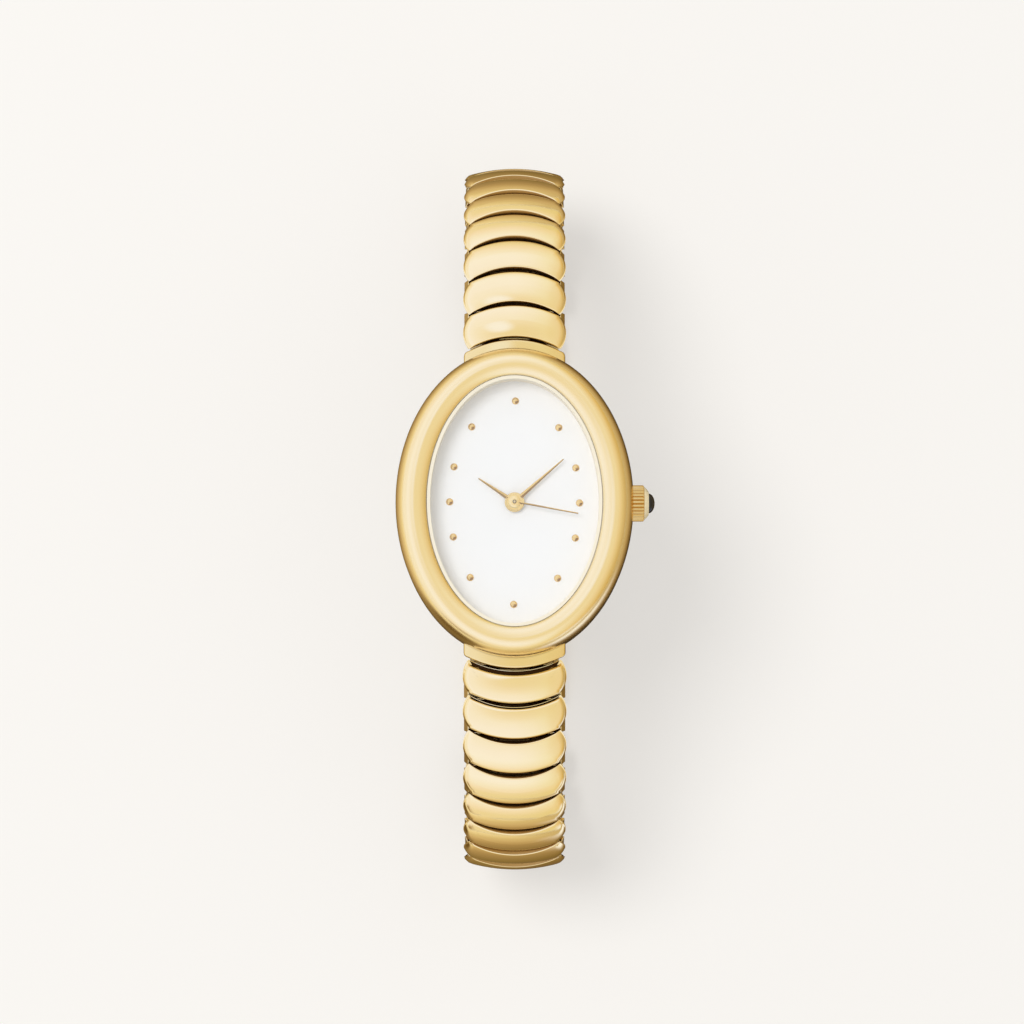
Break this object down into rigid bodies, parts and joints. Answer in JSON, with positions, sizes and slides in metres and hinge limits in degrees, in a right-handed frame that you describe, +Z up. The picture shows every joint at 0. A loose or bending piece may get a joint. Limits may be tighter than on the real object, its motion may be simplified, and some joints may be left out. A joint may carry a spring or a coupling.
{
  "type": "oval watch",
  "caption": "Oval gold bracelet watch with a white dot dial, three hands, domed crescent links and a fold-over ladder clasp, closed and standing on the clasp.",
  "frame": {"origin": "on the flat outer face of the closed clasp cover, below the middle of the dial", "axes": "+Z up through the dial, +Y towards twelve o'clock, +X towards the crown"},
  "size_m": [0.0262, 0.0742, 0.0333],
  "materials": {
    "case_gold": "satin-polished yellow gold",
    "link_gold": "mirror-polished yellow gold",
    "clasp_gold": "polished yellow gold, lightly brushed inside",
    "crown_gold": "polished yellow gold, fluted",
    "hand_gold": "polished, facetted gold",
    "marker_gold": "polished domed gold",
    "crystal": "clear polished mineral glass",
    "seal_pale": "pale moulded seal",
    "dial_white": "smooth off-white lacquer",
    "cabochon_black": "polished black cabochon",
    "back_steel": "brushed stainless steel",
    "steel": "machined steel",
    "movement_brass": "gilt brass",
    "movement_plastic": "moulded pale plastic",
    "seal_black": "black nitrile rubber",
    "copper": "enamelled copper wire",
    "board_green": "green solder mask"
  },
  "bodies": {
    "case": {"case_body": "case_gold", "case_back": "back_steel", "crystal": "crystal", "crystal_gasket": "seal_pale", "dial": "dial_white", "hour_markers": "marker_gold", "crown_tube": "steel", "movement_ring": "movement_plastic", "main_plate": "movement_brass", "train_bridge": "movement_brass", "stator": "steel", "coil": "copper", "battery": "steel", "circuit_board": "board_green"},
    "seconds": {"second_hand": "hand_gold", "second_wheel": "movement_brass"},
    "minutes": {"minute_hand": "hand_gold", "centre_wheel": "movement_brass"},
    "hours": {"hour_hand": "hand_gold", "hour_wheel": "movement_brass"},
    "third": {"third_wheel": "movement_brass"},
    "intermediate": {"intermediate_wheel": "movement_plastic"},
    "rotor": {"rotor": "steel"},
    "motion_work": {"minute_wheel": "movement_brass"},
    "crown_slide": {"crown_gasket": "seal_black"},
    "crown": {"crown": "crown_gold", "crown_cabochon": "cabochon_black", "winding_stem": "steel"},
    "link_twelve_01": {"link_twelve_01": "link_gold"},
    "link_twelve_02": {"link_twelve_02": "link_gold"},
    "link_twelve_03": {"link_twelve_03": "link_gold"},
    "link_twelve_04": {"link_twelve_04": "link_gold"},
    "link_twelve_05": {"link_twelve_05": "link_gold"},
    "link_twelve_06": {"link_twelve_06": "link_gold"},
    "link_twelve_07": {"link_twelve_07": "link_gold"},
    "link_twelve_08": {"link_twelve_08": "link_gold"},
    "link_twelve_09": {"link_twelve_09": "link_gold"},
    "link_twelve_10": {"link_twelve_10": "link_gold"},
    "link_twelve_11": {"link_twelve_11": "link_gold"},
    "link_twelve_12": {"link_twelve_12": "link_gold"},
    "link_twelve_13": {"link_twelve_13": "link_gold"},
    "clasp_box": {"clasp_box": "clasp_gold"},
    "link_six_01": {"link_six_01": "link_gold"},
    "link_six_02": {"link_six_02": "link_gold"},
    "link_six_03": {"link_six_03": "link_gold"},
    "link_six_04": {"link_six_04": "link_gold"},
    "link_six_05": {"link_six_05": "link_gold"},
    "link_six_06": {"link_six_06": "link_gold"},
    "link_six_07": {"link_six_07": "link_gold"},
    "link_six_08": {"link_six_08": "link_gold"},
    "link_six_09": {"link_six_09": "link_gold"},
    "link_six_10": {"link_six_10": "link_gold"},
    "link_six_11": {"link_six_11": "link_gold"},
    "link_six_12": {"link_six_12": "link_gold"},
    "link_six_13": {"link_six_13": "link_gold"},
    "ladder_plate": {"ladder_plate": "clasp_gold"},
    "clasp_cover": {"clasp_cover": "clasp_gold"}
  },
  "joints": [
    {"name": "second_hand_turn", "type": "hinge", "parent": "case", "child": "seconds", "pos_m": [0, 0, 0.02954], "axis": [0, 0, -1], "continuous": true},
    {"name": "minute_hand_turn", "type": "hinge", "parent": "case", "child": "minutes", "pos_m": [0, 0, 0.02954], "axis": [0, 0, -1], "continuous": true},
    {"name": "hour_hand_turn", "type": "hinge", "parent": "case", "child": "hours", "pos_m": [0, 0, 0.02954], "axis": [0, 0, -1], "continuous": true},
    {"name": "third_wheel_turn", "type": "hinge", "parent": "case", "child": "third", "pos_m": [-0.0019, -0.0011, 0.02954], "axis": [0, 0, -1], "continuous": true},
    {"name": "intermediate_wheel_turn", "type": "hinge", "parent": "case", "child": "intermediate", "pos_m": [-0.002, 0.0022, 0.02954], "axis": [0, 0, -1], "continuous": true},
    {"name": "rotor_turn", "type": "hinge", "parent": "case", "child": "rotor", "pos_m": [-0.004, 0.0041, 0.02954], "axis": [0, 0, -1], "continuous": true},
    {"name": "minute_wheel_turn", "type": "hinge", "parent": "case", "child": "motion_work", "pos_m": [0.00175, 0, 0.02954], "axis": [0, 0, -1], "continuous": true},
    {"name": "crown_pull", "type": "slide", "parent": "case", "child": "crown_slide", "axis": [1, 0, 0], "range_m": [0, 0.0008]},
    {"name": "crown_turn", "type": "hinge", "parent": "crown_slide", "child": "crown", "pos_m": [0.012, 0, 0.02929], "axis": [1, 0, 0], "continuous": true},
    {"name": "bracelet_open", "type": "hinge", "parent": "case", "child": "link_twelve_01", "pos_m": [0, 0.0169, 0.02854], "axis": [1, 0, 0], "range_deg": [0, 5]},
    {"name": "hinge_twelve_02", "type": "hinge", "parent": "link_twelve_01", "child": "link_twelve_02", "pos_m": [0, 0.02039, 0.02824], "axis": [1, 0, 0], "range_deg": [0, 8]},
    {"name": "hinge_twelve_03", "type": "hinge", "parent": "link_twelve_02", "child": "link_twelve_03", "pos_m": [0, 0.0238, 0.02745], "axis": [1, 0, 0], "range_deg": [0, 11]},
    {"name": "hinge_twelve_04", "type": "hinge", "parent": "link_twelve_03", "child": "link_twelve_04", "pos_m": [0, 0.02699, 0.02603], "axis": [1, 0, 0], "range_deg": [0, 12]},
    {"name": "hinge_twelve_05", "type": "hinge", "parent": "link_twelve_04", "child": "link_twelve_05", "pos_m": [0, 0.02983, 0.02397], "axis": [1, 0, 0], "range_deg": [0, 10]},
    {"name": "hinge_twelve_06", "type": "hinge", "parent": "link_twelve_05", "child": "link_twelve_06", "pos_m": [0, 0.03226, 0.02145], "axis": [1, 0, 0], "range_deg": [0, 10]},
    {"name": "hinge_twelve_07", "type": "hinge", "parent": "link_twelve_06", "child": "link_twelve_07", "pos_m": [0, 0.03421, 0.01855], "axis": [1, 0, 0], "range_deg": [0, 14]},
    {"name": "hinge_twelve_08", "type": "hinge", "parent": "link_twelve_07", "child": "link_twelve_08", "pos_m": [0, 0.03541, 0.01526], "axis": [1, 0, 0], "range_deg": [0, 16]},
    {"name": "hinge_twelve_09", "type": "hinge", "parent": "link_twelve_08", "child": "link_twelve_09", "pos_m": [0, 0.03566, 0.01177], "axis": [1, 0, 0], "range_deg": [0, 19]},
    {"name": "hinge_twelve_10", "type": "hinge", "parent": "link_twelve_09", "child": "link_twelve_10", "pos_m": [0, 0.03475, 0.00839], "axis": [1, 0, 0], "range_deg": [0, 20]},
    {"name": "hinge_twelve_11", "type": "hinge", "parent": "link_twelve_10", "child": "link_twelve_11", "pos_m": [0, 0.03274, 0.00552], "axis": [1, 0, 0], "range_deg": [0, 19]},
    {"name": "hinge_twelve_12", "type": "hinge", "parent": "link_twelve_11", "child": "link_twelve_12", "pos_m": [0, 0.02991, 0.00347], "axis": [1, 0, 0], "range_deg": [0, 17]},
    {"name": "hinge_twelve_13", "type": "hinge", "parent": "link_twelve_12", "child": "link_twelve_13", "pos_m": [0, 0.0266, 0.00233], "axis": [1, 0, 0], "range_deg": [0, 12]},
    {"name": "clasp_box_hinge", "type": "hinge", "parent": "link_twelve_13", "child": "clasp_box", "pos_m": [0, 0.02313, 0.0019], "axis": [1, 0, 0], "range_deg": [0, 7]},
    {"name": "hinge_six_01", "type": "hinge", "parent": "case", "child": "link_six_01", "pos_m": [0, -0.0169, 0.02854], "axis": [-1, 0, 0], "range_deg": [0, 5]},
    {"name": "hinge_six_02", "type": "hinge", "parent": "link_six_01", "child": "link_six_02", "pos_m": [0, -0.02039, 0.02824], "axis": [-1, 0, 0], "range_deg": [0, 8]},
    {"name": "hinge_six_03", "type": "hinge", "parent": "link_six_02", "child": "link_six_03", "pos_m": [0, -0.0238, 0.02745], "axis": [-1, 0, 0], "range_deg": [0, 11]},
    {"name": "hinge_six_04", "type": "hinge", "parent": "link_six_03", "child": "link_six_04", "pos_m": [0, -0.02699, 0.02603], "axis": [-1, 0, 0], "range_deg": [0, 12]},
    {"name": "hinge_six_05", "type": "hinge", "parent": "link_six_04", "child": "link_six_05", "pos_m": [0, -0.02983, 0.02397], "axis": [-1, 0, 0], "range_deg": [0, 10]},
    {"name": "hinge_six_06", "type": "hinge", "parent": "link_six_05", "child": "link_six_06", "pos_m": [0, -0.03226, 0.02145], "axis": [-1, 0, 0], "range_deg": [0, 10]},
    {"name": "hinge_six_07", "type": "hinge", "parent": "link_six_06", "child": "link_six_07", "pos_m": [0, -0.03421, 0.01855], "axis": [-1, 0, 0], "range_deg": [0, 14]},
    {"name": "hinge_six_08", "type": "hinge", "parent": "link_six_07", "child": "link_six_08", "pos_m": [0, -0.03541, 0.01526], "axis": [-1, 0, 0], "range_deg": [0, 16]},
    {"name": "hinge_six_09", "type": "hinge", "parent": "link_six_08", "child": "link_six_09", "pos_m": [0, -0.03566, 0.01177], "axis": [-1, 0, 0], "range_deg": [0, 19]},
    {"name": "hinge_six_10", "type": "hinge", "parent": "link_six_09", "child": "link_six_10", "pos_m": [0, -0.03475, 0.00839], "axis": [-1, 0, 0], "range_deg": [0, 20]},
    {"name": "hinge_six_11", "type": "hinge", "parent": "link_six_10", "child": "link_six_11", "pos_m": [0, -0.03274, 0.00552], "axis": [-1, 0, 0], "range_deg": [0, 19]},
    {"name": "hinge_six_12", "type": "hinge", "parent": "link_six_11", "child": "link_six_12", "pos_m": [0, -0.02991, 0.00347], "axis": [-1, 0, 0], "range_deg": [0, 17]},
    {"name": "hinge_six_13", "type": "hinge", "parent": "link_six_12", "child": "link_six_13", "pos_m": [0, -0.0266, 0.00233], "axis": [-1, 0, 0], "range_deg": [0, 12]},
    {"name": "ladder_plate_hinge", "type": "hinge", "parent": "link_six_13", "child": "ladder_plate", "pos_m": [0, -0.02313, 0.0019], "axis": [-1, 0, 0], "range_deg": [0, 7]},
    {"name": "clasp_cover_hinge", "type": "hinge", "parent": "clasp_box", "child": "clasp_cover", "pos_m": [0, 0.01973, 0.0014], "axis": [1, 0, 0], "range_deg": [0, 100]}
  ],
  "couplings": [
    {"joint": "minute_hand_turn", "follows": "second_hand_turn", "ratio": 0.016667},
    {"joint": "hour_hand_turn", "follows": "second_hand_turn", "ratio": 0.0013889},
    {"joint": "third_wheel_turn", "follows": "second_hand_turn", "ratio": -0.13333},
    {"joint": "intermediate_wheel_turn", "follows": "second_hand_turn", "ratio": -5},
    {"joint": "rotor_turn", "follows": "second_hand_turn", "ratio": 30},
    {"joint": "minute_wheel_turn", "follows": "second_hand_turn", "ratio": -0.0055556},
    {"joint": "hinge_twelve_02", "follows": "bracelet_open", "ratio": 1.6},
    {"joint": "hinge_twelve_03", "follows": "bracelet_open", "ratio": 2.2},
    {"joint": "hinge_twelve_04", "follows": "bracelet_open", "ratio": 2.4},
    {"joint": "hinge_twelve_05", "follows": "bracelet_open", "ratio": 2},
    {"joint": "hinge_twelve_06", "follows": "bracelet_open", "ratio": 2},
    {"joint": "hinge_twelve_07", "follows": "bracelet_open", "ratio": 2.8},
    {"joint": "hinge_twelve_08", "follows": "bracelet_open", "ratio": 3.2},
    {"joint": "hinge_twelve_09", "follows": "bracelet_open", "ratio": 3.8},
    {"joint": "hinge_twelve_10", "follows": "bracelet_open", "ratio": 4},
    {"joint": "hinge_twelve_11", "follows": "bracelet_open", "ratio": 3.8},
    {"joint": "hinge_twelve_12", "follows": "bracelet_open", "ratio": 3.4},
    {"joint": "hinge_twelve_13", "follows": "bracelet_open", "ratio": 2.4},
    {"joint": "clasp_box_hinge", "follows": "bracelet_open", "ratio": 1.4},
    {"joint": "hinge_six_01", "follows": "bracelet_open", "ratio": 1},
    {"joint": "hinge_six_02", "follows": "bracelet_open", "ratio": 1.6},
    {"joint": "hinge_six_03", "follows": "bracelet_open", "ratio": 2.2},
    {"joint": "hinge_six_04", "follows": "bracelet_open", "ratio": 2.4},
    {"joint": "hinge_six_05", "follows": "bracelet_open", "ratio": 2},
    {"joint": "hinge_six_06", "follows": "bracelet_open", "ratio": 2},
    {"joint": "hinge_six_07", "follows": "bracelet_open", "ratio": 2.8},
    {"joint": "hinge_six_08", "follows": "bracelet_open", "ratio": 3.2},
    {"joint": "hinge_six_09", "follows": "bracelet_open", "ratio": 3.8},
    {"joint": "hinge_six_10", "follows": "bracelet_open", "ratio": 4},
    {"joint": "hinge_six_11", "follows": "bracelet_open", "ratio": 3.8},
    {"joint": "hinge_six_12", "follows": "bracelet_open", "ratio": 3.4},
    {"joint": "hinge_six_13", "follows": "bracelet_open", "ratio": 2.4},
    {"joint": "ladder_plate_hinge", "follows": "bracelet_open", "ratio": 1.4},
    {"joint": "clasp_cover_hinge", "follows": "bracelet_open", "ratio": 20}
  ]
}
